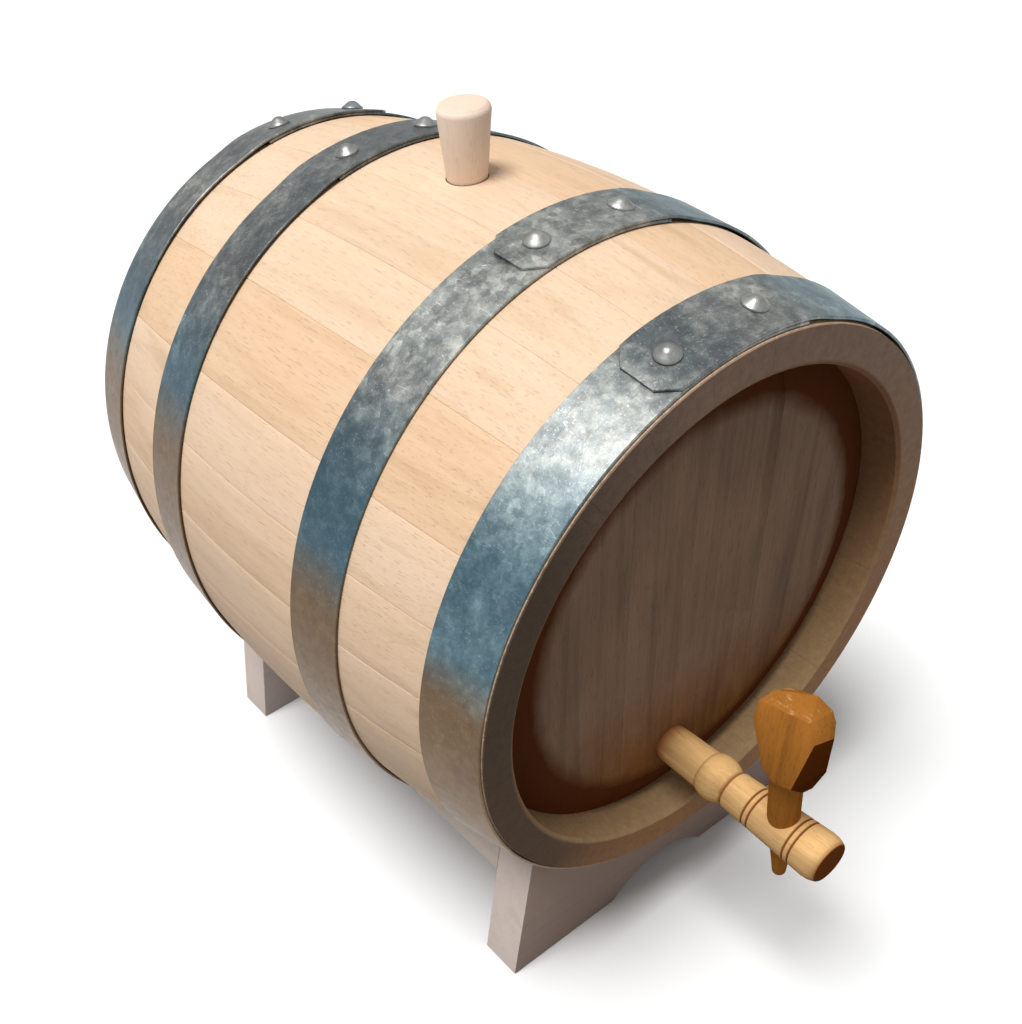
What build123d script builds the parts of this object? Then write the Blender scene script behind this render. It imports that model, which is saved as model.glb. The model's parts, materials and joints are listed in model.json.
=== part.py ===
"""Three-litre oak barrel with a wooden tap, lying in a pine stand.

The barrel's axis runs along Y with the tap at the -Y end.  Z is up, the stand's feet are
on Z = 0, and the origin lies under the middle of the whole object's length.  All sizes
are in millimetres.  Angles round the barrel are counted from the top towards +X.
"""
from build123d import *
import math
import os

# Barrel shell.
barrel_length = 200.0
belly_diameter = 188.0
end_diameter = 166.0
stave_thickness = 12.5

# Chime, the ring of stave ends that stands out past each head.
chime_bore = 146.0
chime_bevel = 1.0
head_depth = 9.0

# Relative widths of the staves, from the bung stave round through +X.
stave_widths = [14.0, 15.0, 13.5, 14.0, 16.0, 14.0, 13.5, 15.5, 14.5, 13.0, 15.0, 14.5, 16.0,
                13.5, 14.5, 14.0, 15.5, 14.5, 14.5, 13.5, 13.5, 13.0, 17.5, 13.5, 14.0]
bung_stave_start = -9.0

# Heads, each of three boards that stand upright side by side.
head_thickness = 12.0
head_flat_diameter = 122.0
head_bevel_depth = 3.8
head_tongue_depth = 3.5
head_tongue_thickness = 4.0
head_inner_bevel = 7.5
head_middle_board = 52.0
croze_clearance = 0.2

# Dowels that join the head boards edge to edge.
head_dowel_diameter = 4.0
head_dowel_length = 16.0
head_dowel_spread = 58.0

# Hoops of galvanised strap, each closed by a riveted lap on top of the barrel.
hoop_width = 19.0
strap_thickness = 0.8
hoop_clearance = 0.15
head_hoop_setback = 0.7
bilge_hoop_centre = 40.3
lap_margin = 9.3
lap_joggle = 12.5
lap_corner_clip = 4.5
lap_turns = {"front_head": -2.4, "front_bilge": 1.1, "rear_bilge": 1.0, "rear_head": 6.0}

# Rivets, two in each lap.
rivet_pitch = 27.5
rivet_shank_diameter = 3.0
rivet_head_diameter = 7.0
rivet_rim = 0.5
rivet_head_height = 2.2
rivet_top_diameter = 2.6
rivet_clearance = 0.1
rivet_seat_gap = 0.05

# Bung, a tapered plug in the bung stave.
bung_offset = -1.1
bung_top_diameter = 14.8
bung_neck_diameter = 11.2
bung_stand = 18.5
bung_edge_round = 2.0
bung_clearance = 0.25
bung_tail = 1.0

# Tap body, turned on its own axis and driven square into the front head.
tap_offset = -4.8
tap_drop = 51.2
tap_lean = 7.5
tap_length = 61.0
tap_tail = 8.0
tap_tail_taper = 0.05
tap_shank_diameter = 12.0
tap_shank_taper = 0.025
tap_collar_start = 16.0
tap_collar_length = 9.2
tap_collar_diameter = 14.6
tap_neck_diameter = 10.6
tap_neck_length = 0.8
tap_body_diameter = 12.2
tap_body_end_diameter = 15.2
tap_chamfer = 3.5
tap_end_diameter = 13.0
tap_ring_places = [35.3, 51.0]
tap_ring_gap = 2.0
tap_ring_width = 0.7
tap_ring_depth = 0.4
tap_clearance = 0.1
tap_bore = 4.0

# Key, a tapered plug that turns across the tap body, with a handle on top.
key_place = 44.3
key_diameter = 9.2
key_taper = 0.085
key_clearance = 0.06
key_outlet_reach = 23.6
key_side_bore = 3.0
key_outlet_bore = 2.0
key_bore_above = 1.5

# Whittled handle of the key, cut out of a block by flat facets.  Each facet has a heading
# round the key from -X towards -Y, a tilt upwards and a distance from the handle's centre
# as a share of the handle's height.
handle_centre = 40.0
handle_height = 34.0
handle_facets = [
    (10.5, 9.0, 0.159),       # broad face at the -X side
    (295.0, 89.0, 0.474),     # top
    (92.5, 20.0, 0.347),      # shoulder away from the barrel
    (81.0, -7.5, 0.235),      # front below the shoulder
    (18.5, -36.5, 0.335),     # underside, -X
    (131.0, -30.5, 0.421),    # underside, front
    (262.0, 4.5, 0.226),      # back towards the barrel
    (280.0, -45.0, 0.209),    # underside, back
    (181.5, -0.5, 0.179),     # broad face at the +X side
    (213.0, 53.0, 0.450),     # top corner, +X
    (310.0, -11.0, 0.224),    # lower corner, back
    (130.0, -2.0, 0.300),     # corner between the front and the +X side
    (118.0, 63.5, 0.494),     # top corner, front
]

# Stand, two cradle boards joined by two rails.
belly_clearance = 32.0
board_thickness = 15.0
board_inset = 13.0
foot_width = 133.2
board_end_slope = 9.6
cradle_clearance = 0.3
horn_drop = 70.0
notch_height = 9.7
notch_width = 42.0
rail_spacing = 92.4
rail_inner_edge = 4.4
rail_gap = 1.0
rail_bevel_angle = 35.0

# Dowels that hold the rails' ends in the boards.
rail_dowel_diameter = 4.0
rail_dowel_length = 16.0
rail_dowel_rise = 4.4
rail_dowel_inset = 6.6
dowel_clearance = 0.1
dowel_end_gap = 0.3

# Radii and stations that follow from the sizes above.
belly_radius = belly_diameter / 2
axis_height = belly_clearance + belly_radius
end_radius = end_diameter / 2
half_length = barrel_length / 2
bulge = belly_radius - end_radius
profile_radius = (half_length ** 2 + bulge ** 2) / (2 * bulge)
chime_radius = chime_bore / 2
head_radius = chime_radius + head_tongue_depth
tongue_front = head_depth + head_bevel_depth
tongue_back = tongue_front + head_tongue_thickness
tap_tip = tap_length - head_depth
front_end = (tap_tip - barrel_length) / 2
barrel_middle = front_end + half_length
rear_end = front_end + barrel_length


def outer_radius(y):
    """Radius of the staves' outside at the place y along the barrel."""
    along = y - barrel_middle
    return belly_radius - profile_radius + math.sqrt(profile_radius ** 2 - along ** 2)


def inner_radius(y):
    """Radius of the staves' inside between the heads."""
    along = y - barrel_middle
    inside = profile_radius - stave_thickness
    return belly_radius - profile_radius + math.sqrt(inside ** 2 - along ** 2)


def section(points):
    """Flat face in the plane X = 0 from (y, radius) points."""
    return make_face(Polyline([(0, y, r) for y, r in points], close=True))


def turned(points):
    """Solid of revolution about Y from (y, radius) points."""
    return revolve(section(points), axis=Axis.Y)


def on_axis(shape):
    """Move a shape from the barrel's own axis up to its height in the stand."""
    return Pos(0, 0, axis_height) * shape


def save(shape, name):
    """Write one named piece."""
    shape.label = name
    export_step(shape, f"parts/{name}.step")


def stave_profile():
    """Lengthwise section of a stave, with the croze grooves for the heads."""
    groove_front = tongue_front - croze_clearance
    groove_back = tongue_back + croze_clearance
    groove_radius = head_radius + croze_clearance
    mouth = chime_radius + chime_bevel

    def at(distance, end):
        return front_end + distance if end < 0 else rear_end - distance

    def wall(end):
        return [(at(0, end), mouth), (at(chime_bevel, end), chime_radius),
                (at(groove_front, end), chime_radius), (at(groove_front, end), groove_radius),
                (at(groove_back, end), groove_radius),
                (at(groove_back, end), inner_radius(at(groove_back, end)))]

    front = [(0, y, r) for y, r in wall(-1)]
    rear = [(0, y, r) for y, r in wall(1)]
    outline = [
        Polyline([(0, front_end, end_radius)] + front),
        ThreePointArc(front[-1], (0, barrel_middle, inner_radius(barrel_middle)), rear[-1]),
        Polyline(rear[::-1] + [(0, rear_end, end_radius)]),
        ThreePointArc((0, rear_end, end_radius), (0, barrel_middle, belly_radius),
                      (0, front_end, end_radius)),
    ]
    return make_face(outline)


def bung_shape(extra):
    """Tapered plug, or its hole when extra is a clearance round it."""
    slope = (bung_top_diameter - bung_neck_diameter) / 2 / bung_stand
    surface = outer_radius(barrel_middle)
    low = -stave_thickness - bung_tail
    high = bung_stand
    neck = bung_neck_diameter / 2 + extra
    plug = loft([
        Pos(0, 0, low) * Circle(neck + slope * low),
        Pos(0, 0, high) * Circle(neck + slope * high),
    ])
    return Pos(bung_offset, barrel_middle, surface) * plug


def bung():
    """Bung with a rounded top edge."""
    plug = bung_shape(0)
    return fillet(plug.edges().sort_by(Axis.Z)[-1], bung_edge_round)


def staves():
    """All staves by name, each a wedge of the turned shell."""
    profile = stave_profile()
    scale = 360 / sum(stave_widths)
    start = bung_stave_start
    pieces = {}
    for number, width in enumerate(stave_widths, 1):
        arc = width * scale
        piece = Rot(0, start, 0) * revolve(profile, axis=Axis.Y, revolution_arc=arc)
        start += arc
        pieces[f"stave_{number:02d}"] = piece
    pieces["bung_stave"] = pieces.pop("stave_01") - bung_shape(bung_clearance)
    return pieces


def head_disc():
    """Front head as one disc, bevelled on both faces to the tongue at its rim."""
    inner_face = head_depth + head_thickness
    flat = head_flat_diameter / 2
    points = [(head_depth, 0), (head_depth, flat), (tongue_front, chime_radius - croze_clearance),
              (tongue_front, head_radius), (tongue_back, head_radius),
              (tongue_back, chime_radius), (inner_face, chime_radius - head_inner_bevel),
              (inner_face, 0)]
    return turned([(front_end + depth, r) for depth, r in points])


def head_dowels(extra, end_gap):
    """Four dowels across the seams of the front head, or their holes."""
    seam = head_middle_board / 2
    middle = front_end + head_depth + head_thickness / 2
    length = head_dowel_length + 2 * end_gap
    pieces = []
    for side in (-1, 1):
        for level in (-1, 1):
            place = Pos(side * seam, middle, level * head_dowel_spread / 2)
            dowel = Cylinder(head_dowel_diameter / 2 + extra, length)
            pieces.append(place * Rot(0, 90, 0) * dowel)
    return pieces


def head_boards():
    """Left, middle and right board of the front head, as seen from the tap end."""
    disc = head_disc()
    for hole in head_dowels(dowel_clearance, dowel_end_gap):
        disc -= hole
    reach = 2 * head_radius
    seam = head_middle_board / 2
    keep = {
        "left": Pos(-seam - reach / 2, 0, 0) * Box(reach, 4 * half_length, reach),
        "middle": Box(head_middle_board, 4 * half_length, reach),
        "right": Pos(seam + reach / 2, 0, 0) * Box(reach, 4 * half_length, reach),
    }
    return {side: disc & block for side, block in keep.items()}


def to_rear(shape):
    """Turn a piece of the front head round to the rear head."""
    return Pos(0, 2 * barrel_middle, 0) * Rot(0, 0, 180) * shape


class Hoop:
    """One hoop: a strap round the staves whose outer end laps over its inner end.

    The lap's middle lies at the angle turn, and hand is 1 or -1 for the way it laps.
    """

    def __init__(self, centre, turn, hand):
        self.turn = turn
        self.hand = hand
        self.front = centre - hoop_width / 2
        self.back = centre + hoop_width / 2
        self.centre = centre
        crown = outer_radius(centre) - (outer_radius(self.front) + outer_radius(self.back)) / 2
        self.lift = crown + hoop_clearance
        front_radius = outer_radius(self.front)
        back_radius = outer_radius(self.back)
        self.slope = math.degrees(math.atan((back_radius - front_radius) / hoop_width))
        self.radius = (front_radius + back_radius) / 2 + self.lift
        self.lap = self.angle(rivet_pitch / 2 + lap_margin)

    def angle(self, length):
        """Angle round the barrel that a length of strap covers."""
        return math.degrees(length / self.radius)

    def layer(self, level, turn=0):
        """Section of the strap in its layer above the staves, turned round the barrel."""
        low = self.lift + level * strap_thickness
        high = low + strap_thickness
        face = section([(self.front, outer_radius(self.front) + low),
                        (self.back, outer_radius(self.back) + low),
                        (self.back, outer_radius(self.back) + high),
                        (self.front, outer_radius(self.front) + high)])
        return Rot(0, turn, 0) * face

    def place(self, angle, height):
        """Frame on the strap, Z outwards, at a height above the strap's inside."""
        spot = Rot(0, angle, 0) * Pos(0, self.centre, self.radius) * Rot(self.slope, 0, 0)
        return spot * Pos(0, 0, height)

    def strap(self):
        """The strap: ring, joggle up to the second layer, and the lapped end."""
        step = self.angle(lap_joggle)
        ring = revolve(self.layer(0), axis=Axis.Y, revolution_arc=360 - step)
        ring = Rot(0, self.lap + step, 0) * ring
        joggle = loft([self.layer(1, self.lap), self.layer(0, self.lap + step)], ruled=True)
        lap = Rot(0, -self.lap, 0) * revolve(self.layer(1), axis=Axis.Y,
                                             revolution_arc=2 * self.lap)
        cut = math.hypot(lap_corner_clip, lap_corner_clip)
        for side in (-1, 1):
            corner = Rot(0, 0, 45) * Box(cut, cut, 8 * strap_thickness)
            lap -= self.place(-self.lap, 0) * Pos(0, side * hoop_width / 2, 0) * corner
        strap = ring + joggle + lap
        for angle in self.rivet_angles():
            hole = Cylinder(rivet_shank_diameter / 2 + rivet_clearance, 8 * strap_thickness)
            strap -= self.place(angle, strap_thickness) * hole
        if self.hand < 0:
            strap = mirror(strap, about=Plane.YZ)
        return Rot(0, self.turn, 0) * strap

    def rivet_angles(self):
        """Where the two rivets sit, each side of the lap's middle."""
        half = self.angle(rivet_pitch / 2)
        return (-half, half)

    def rivets(self):
        """Two rivets with conical heads, shanks flush with the strap's inside."""
        layers = 2 * strap_thickness
        outline = Polyline((0, 0, -layers), (rivet_shank_diameter / 2, 0, -layers),
                           (rivet_shank_diameter / 2, 0, 0), (rivet_head_diameter / 2, 0, 0),
                           (rivet_head_diameter / 2, 0, rivet_rim),
                           (rivet_top_diameter / 2, 0, rivet_head_height),
                           (0, 0, rivet_head_height), close=True)
        rivet = revolve(make_face(outline), axis=Axis.Z)
        return [Rot(0, self.turn, 0) * self.place(angle, layers + rivet_seat_gap) * rivet
                for angle in self.rivet_angles()]


def hoops():
    """The four hoops by name; the rear pair laps the other way round."""
    head_hoop = head_hoop_setback + hoop_width / 2
    middles = {
        "front_head": front_end + head_hoop,
        "front_bilge": barrel_middle - bilge_hoop_centre,
        "rear_bilge": barrel_middle + bilge_hoop_centre,
        "rear_head": rear_end - head_hoop,
    }
    return {name: Hoop(centre, lap_turns[name], -1 if name.startswith("rear") else 1)
            for name, centre in middles.items()}


def at_tap(shape):
    """Place a shape drawn with the tap's axis along -Y, from the head's face outwards."""
    return Pos(tap_offset, front_end + head_depth, -tap_drop) * Rot(0, -tap_lean, 0) * shape


def tap_rings():
    """Radius cuts for the pairs of turned rings, as (from, to) along the tap."""
    cuts = []
    for place in tap_ring_places:
        for side in (-1, 1):
            middle = place + side * tap_ring_gap / 2
            cuts.append((middle - tap_ring_width / 2, middle + tap_ring_width / 2))
    return cuts


def body_radius(along):
    """Radius of the tap's barrel-shaped body at a distance from the head."""
    start = tap_collar_start + tap_collar_length + tap_neck_length
    share = (along - start) / (tap_length - tap_chamfer - start)
    return (tap_body_diameter + share * (tap_body_end_diameter - tap_body_diameter)) / 2


def tail_radius(along):
    """Radius of the tap's tapered tail inside the head, where along is negative."""
    return tap_shank_diameter / 2 + tap_tail_taper * along


def tap_body():
    """Turned tap: tail, shank, collar, neck, body with two pairs of rings."""
    tail = head_thickness + tap_tail
    collar_end = tap_collar_start + tap_collar_length
    neck_end = collar_end + tap_neck_length
    chamfer_start = tap_length - tap_chamfer
    shank = tap_shank_diameter / 2
    shoulder = shank + tap_shank_taper * tap_collar_start
    neck = tap_neck_diameter / 2
    bore = tap_bore / 2
    lower = [(-tail, bore), (-tail, tail_radius(-tail)), (0, shank), (tap_collar_start, shoulder)]
    upper = [(neck_end, neck), (neck_end, body_radius(neck_end))]
    for start, stop in tap_rings():
        upper += [(start, body_radius(start)), (start, body_radius(start) - tap_ring_depth),
                  (stop, body_radius(stop) - tap_ring_depth), (stop, body_radius(stop))]
    upper += [(chamfer_start, body_radius(chamfer_start)), (tap_length, tap_end_diameter / 2),
              (tap_length, 0), (key_place, 0), (key_place, bore), (-tail, bore)]
    collar = ThreePointArc((0, -tap_collar_start, shoulder),
                           (0, -(tap_collar_start + collar_end) / 2, tap_collar_diameter / 2),
                           (0, -collar_end, neck))
    outline = [Polyline([(0, -along, r) for along, r in lower]), collar,
               Polyline([(0, -collar_end, neck)] + [(0, -along, r) for along, r in upper])]
    return revolve(make_face(outline), axis=Axis.Y) - key_seat()


def key_radius(height):
    """Radius of the key's taper at a height above the tap's axis."""
    return key_diameter / 2 - key_taper * (body_radius(key_place) - height)


def key_seat():
    """Tapered hole across the tap body for the key."""
    reach = tap_body_end_diameter
    seat = loft([Pos(0, 0, level) * Circle(key_radius(level) + key_clearance)
                 for level in (-reach, reach)])
    return Pos(0, -key_place, 0) * seat


def key_handle():
    """Handle: a block with everything outside its facets cut away."""
    block = 2 * handle_height
    handle = Box(block, block, block)
    for heading, tilt, share in handle_facets:
        waste = Pos(-share * handle_height - block, 0, 0) * Box(2 * block, 4 * block, 4 * block)
        handle -= Rot(0, 0, heading) * Rot(0, tilt, 0) * waste
    return Pos(0, 0, handle_centre) * handle


def key():
    """Key with its side hole and the outlet bore up from its lower end."""
    top = body_radius(key_place)
    stem = key_radius(top)
    tip = key_radius(-key_outlet_reach)
    outline = Polyline((0, 0, -key_outlet_reach), (tip, 0, -key_outlet_reach), (stem, 0, top),
                       (stem, 0, handle_centre), (0, 0, handle_centre), close=True)
    solid = revolve(make_face(outline), axis=Axis.Z) + key_handle()
    depth = key_outlet_reach + key_bore_above
    middle = (key_bore_above - key_outlet_reach) / 2
    outlet = Pos(0, 0, middle) * Cylinder(key_outlet_bore / 2, depth)
    side = Pos(key_diameter / 2, 0, 0) * Rot(0, 90, 0) * Cylinder(key_side_bore / 2, key_diameter)
    return Pos(0, -key_place, 0) * (solid - outlet - side)


def end_reach(height):
    """Half width of the stand at a height above the floor."""
    return foot_width / 2 - height * math.tan(math.radians(board_end_slope))


def rail_bevel_height(x):
    """Height of the rail's bevelled top, which clears the barrel's belly, at a distance x."""
    bevel = math.radians(rail_bevel_angle)
    clear = belly_radius + rail_gap
    return axis_height - (clear - x * math.sin(bevel)) / math.cos(bevel)


def rail_underside():
    """Height of the rails' lower faces above the floor."""
    return rail_bevel_height(rail_spacing / 2) - rail_inner_edge


def rail_section():
    """Corners (x, z) of the +X rail: flush with the boards' ends outside, bevelled on top."""
    inside = rail_spacing / 2
    low = rail_underside()
    rise = math.tan(math.radians(rail_bevel_angle))
    lean = math.tan(math.radians(board_end_slope))
    # The outer face x = foot - lean z meets the bevel z = z0 + rise x.
    top = (foot_width / 2 - lean * rail_bevel_height(0)) / (1 + lean * rise)
    return [(end_reach(low), low), (top, rail_bevel_height(top)),
            (inside, rail_bevel_height(inside)), (inside, low)]


def board_faces():
    """Outer and inner face of the front board along Y."""
    outer = front_end + board_inset
    return outer, outer + board_thickness


def rail_dowels(extra, end_gap):
    """Four dowels where the rails' ends meet the boards, or their holes."""
    inner = board_faces()[1]
    length = rail_dowel_length + 2 * end_gap
    x = end_reach(rail_underside()) - rail_dowel_inset
    z = rail_underside() + rail_dowel_rise
    pieces = []
    for side in (-1, 1):
        for y in (inner, 2 * barrel_middle - inner):
            dowel = Rot(90, 0, 0) * Cylinder(rail_dowel_diameter / 2 + extra, length)
            pieces.append(Pos(side * x, y, z) * dowel)
    return pieces


def stand_board():
    """Front cradle board: slanted ends, cradle arc on top and a notch at the floor."""
    outer, inner = board_faces()
    foot = foot_width / 2
    horn_height = axis_height - horn_drop
    top = end_reach(horn_height)
    blank = make_face(Polyline((-foot, 0, 0), (foot, 0, 0), (top, 0, horn_height),
                               (-top, 0, horn_height), close=True))
    board = Pos(0, inner, 0) * extrude(blank, amount=board_thickness, dir=(0, -1, 0))
    hoop = hoops()["front_head"]
    hoop_edge = outer_radius(hoop.back) + hoop.lift + strap_thickness
    cradle = max(outer_radius(inner), hoop_edge) + cradle_clearance
    middle = (outer + inner) / 2
    tool = 2 * board_thickness
    half = notch_width / 2
    notch = (half ** 2 + notch_height ** 2) / (2 * notch_height)
    board -= Pos(0, middle, axis_height) * Rot(90, 0, 0) * Cylinder(cradle, tool)
    board -= Pos(0, middle, notch_height - notch) * Rot(90, 0, 0) * Cylinder(notch, tool)
    for hole in rail_dowels(dowel_clearance, dowel_end_gap):
        board -= hole
    return board


def stand_rail():
    """Rail on the +X side between the two boards."""
    inner = board_faces()[1]
    length = 2 * (barrel_middle - inner)
    face = make_face(Polyline([(x, 0, z) for x, z in rail_section()], close=True))
    rail = Pos(0, inner, 0) * extrude(face, amount=length, dir=(0, 1, 0))
    for hole in rail_dowels(dowel_clearance, dowel_end_gap):
        rail -= hole
    return rail


os.makedirs("parts", exist_ok=True)

for name, piece in staves().items():
    save(on_axis(piece), name)

for side, board in head_boards().items():
    rear = to_rear(board)
    if side == "middle":
        tail = head_thickness + tap_tail
        hole = loft([Plane((0, end, 0), z_dir=(0, 1, 0)) * Circle(tail_radius(-end) + tap_clearance)
                     for end in (-tail, tail)])
        board = board - at_tap(hole)
    save(on_axis(board), f"front_head_{side}_board")
    opposite = {"left": "right", "middle": "middle", "right": "left"}[side]
    save(on_axis(rear), f"rear_head_{opposite}_board")

front_dowels = head_dowels(0, 0)
rear_dowels = [to_rear(dowel) for dowel in front_dowels]
save(on_axis(Compound(children=front_dowels)), "front_head_dowels")
save(on_axis(Compound(children=rear_dowels)), "rear_head_dowels")

for name, hoop in hoops().items():
    save(on_axis(hoop.strap()), f"{name}_hoop")
    save(on_axis(Compound(children=hoop.rivets())), f"{name}_hoop_rivets")

save(on_axis(bung()), "bung")
save(on_axis(at_tap(tap_body())), "tap_body")
save(on_axis(at_tap(key())), "tap_key")

front_board = stand_board()
save(front_board, "stand_front_board")
save(Pos(0, 2 * barrel_middle, 0) * Rot(0, 0, 180) * front_board, "stand_rear_board")
right_rail = stand_rail()
save(right_rail, "stand_right_rail")
save(mirror(right_rail, about=Plane.YZ), "stand_left_rail")
save(Compound(children=rail_dowels(0, 0)), "stand_dowels")
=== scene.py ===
"""Looks of the small oak barrel with a wooden tap, lying in its stand.

Run as a script in Blender.  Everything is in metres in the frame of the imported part: the
barrel's axis runs along Y with the tap at the -Y end, and Z is up from the floor.  Angles
round the barrel are counted from the top towards +X.
"""
import json
from math import asin, atan, atan2, cos, exp, hypot, pi, radians, sin, sqrt, tau

import bmesh
import bpy
from bpy.props import FloatProperty, FloatVectorProperty, PointerProperty
from bpy.types import Operator, Panel, PropertyGroup, Scene
from mathutils import Matrix, Vector
from mathutils.geometry import convex_hull_2d


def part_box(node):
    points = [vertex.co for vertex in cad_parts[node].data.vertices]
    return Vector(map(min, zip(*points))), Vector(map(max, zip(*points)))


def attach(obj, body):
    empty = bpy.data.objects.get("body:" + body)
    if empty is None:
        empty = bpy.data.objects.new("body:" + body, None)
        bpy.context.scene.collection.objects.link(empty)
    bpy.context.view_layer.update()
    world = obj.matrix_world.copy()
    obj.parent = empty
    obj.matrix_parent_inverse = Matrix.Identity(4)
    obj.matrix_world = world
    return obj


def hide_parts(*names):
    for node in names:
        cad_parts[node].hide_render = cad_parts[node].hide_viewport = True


bl_info = {
    "name": "Oak Barrel With Tap",
    "version": (1, 0, 0),
    "blender": (4, 5, 0),
    "location": "3D View > Sidebar > Barrel",
    "description": "Dresses the packed barrel with staves, hoops, tap, stand and their finishes",
    "category": "Object",
}

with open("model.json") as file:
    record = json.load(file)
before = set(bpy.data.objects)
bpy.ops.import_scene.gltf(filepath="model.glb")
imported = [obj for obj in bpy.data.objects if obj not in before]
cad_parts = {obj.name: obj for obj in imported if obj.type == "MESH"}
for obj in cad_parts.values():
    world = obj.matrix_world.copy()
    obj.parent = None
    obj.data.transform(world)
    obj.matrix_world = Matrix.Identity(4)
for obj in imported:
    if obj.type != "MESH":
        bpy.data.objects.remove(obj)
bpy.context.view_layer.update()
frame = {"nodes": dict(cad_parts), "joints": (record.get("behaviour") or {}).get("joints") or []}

HOOPS = ("front_head", "front_bilge", "rear_bilge", "rear_head")
STAVES = ["bung_stave"] + [f"stave_{number:02d}" for number in range(2, 26)]
ON_PLANE = 1e-5  # a corner nearer than this to a plane lies on it
X, Y, Z = range(3)

# Depths in the section of a head, from its outer face: bevel, back of the tongue, back.
HEAD_BEVEL = 0.0038
TONGUE_BACK = 0.0076
HEAD_BACK = 0.012

# Camera fitted to the photograph: its pixels, then its place and directions in metres.
PHOTO_WIDTH, PHOTO_HEIGHT = 1022, 1024
FOCAL_LENGTH = 1172.68
OPTICAL_AXIS = (432.1, 707.3)
CAMERA_PLACE = (-0.1935043, -0.2248855, 0.3474164)
CAMERA_RIGHT = (0.789847, -0.608302, -0.078170)
CAMERA_DOWN = (-0.483663, -0.539436, -0.689260)
SENSOR = 36.0  # width in millimetres


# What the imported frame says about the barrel.

def node_points(node):
    """All corners of a CAD node."""
    return [vertex.co.copy() for vertex in frame["nodes"][node].data.vertices]


def shell_sizes():
    """Both ends, height of the axis, and radii at the belly and outside and inside an end."""
    low = min(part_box(stave)[0].z for stave in STAVES)
    near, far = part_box("bung_stave")
    axis = (low + far.z) / 2
    end = [hypot(p.x, p.z - axis) for p in node_points("stave_13") if p.y < near.y + ON_PLANE]
    return near.y, far.y, axis, (far.z - low) / 2, max(end), min(end)


FRONT, REAR, AXIS, BELLY, END, MOUTH = shell_sizes()
MIDDLE = (FRONT + REAR) / 2
HALF_LENGTH = (REAR - FRONT) / 2
BULGE = BELLY - END
PROFILE_RADIUS = (HALF_LENGTH ** 2 + BULGE ** 2) / (2 * BULGE)


def outer_radius(y):
    """Radius of the staves' outside at a place along the barrel."""
    return BELLY - PROFILE_RADIUS + sqrt(PROFILE_RADIUS ** 2 - (y - MIDDLE) ** 2)


def round_angle(point):
    """Angle of a point round the barrel's axis."""
    return atan2(point.x, point.z - AXIS)


def lap_angle(hoop):
    """Angle of the middle of a hoop's lap, half way between its two rivets."""
    points = node_points(f"{hoop}_hoop_rivets")
    return sum(round_angle(point) for point in points) / len(points)


def bung_taper():
    """Centre, foot radius, foot height, widest radius, its height and top of the bung."""
    low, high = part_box("bung")
    centre = (low + high) / 2
    rings = [(hypot(p.x - centre.x, p.y - centre.y), p.z) for p in node_points("bung")]
    foot = max(radius for radius, height in rings if height < low.z + ON_PLANE)
    widest = max(rings, key=lambda ring: ring[0])
    return centre, foot, low.z, *widest, high.z


def stave_spans():
    """Start angle and width of each stave, read from the frame."""
    spans = []
    for stave in STAVES:
        points = node_points(stave)
        heading = round_angle(sum(points, Vector((0, 0, 0))) / len(points))
        turns = [(round_angle(p) - heading + pi) % tau - pi for p in points]
        spans.append((heading + min(turns), max(turns) - min(turns)))
    return spans


# Sizes and colours that a user would change.

def length(name, description, default):
    return FloatProperty(name=name, description=description, default=default, min=0.0,
                         precision=5, subtype="DISTANCE", unit="LENGTH")


def colour(name, description, default):
    return FloatVectorProperty(name=name, description=description, default=default,
                               size=3, min=0.0, max=1.0, subtype="COLOR")


class BarrelSizes(PropertyGroup):
    """Sizes of the finishing work on the pieces."""
    stave_thickness: length("Stave thickness", "Wall of the shell", 0.0125)
    chime_bevel: length("Chime bevel", "Bevel inside the stave ends", 0.001)
    seam_gap: length("Seam gap", "Open joint between two staves", 0.00005)
    stave_arris: length("Stave arris", "Rounding along each stave's edges", 0.00011)
    strap_thickness: length("Strap thickness", "Thickness of the hoop strap", 0.0008)
    strap_arris: length("Strap arris", "Bevel along the strap's edges", 0.00018)
    hoop_lift: length("Hoop lift", "Space between staves and strap", 0.00015)
    lap_half: length("Half lap", "Length of the lap each side of the top", 0.02305)
    lap_spring: length("Lap spring", "How far the strap stands off beside its lap", 0.00045)
    joggle: length("Joggle", "Length over which the strap steps up", 0.0125)
    lap_clip: length("Lap corner", "Corner clipped off the lapped end", 0.0045)
    rivet_pitch: length("Rivet pitch", "Distance between the two rivets", 0.0275)
    rivet_diameter: length("Rivet diameter", "Across the rivet's head", 0.007)
    rivet_height: length("Rivet height", "Height of the rivet's cone", 0.0022)
    bung_room: length("Bung room", "Space round the bung in its hole", 0.00025)
    head_depth: length("Head depth", "From the stave ends to the head", 0.009)
    head_flat: length("Head flat", "Diameter of the head inside its bevel", 0.122)
    board_arris: length("Head board arris", "Rounding of the head boards' edges", 0.0003)
    key_arris: length("Key arris", "Rounding between the facets of the key's handle", 0.00035)
    edge_round: length("Edge rounding", "Rounding of the stand's edges", 0.0005)


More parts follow.
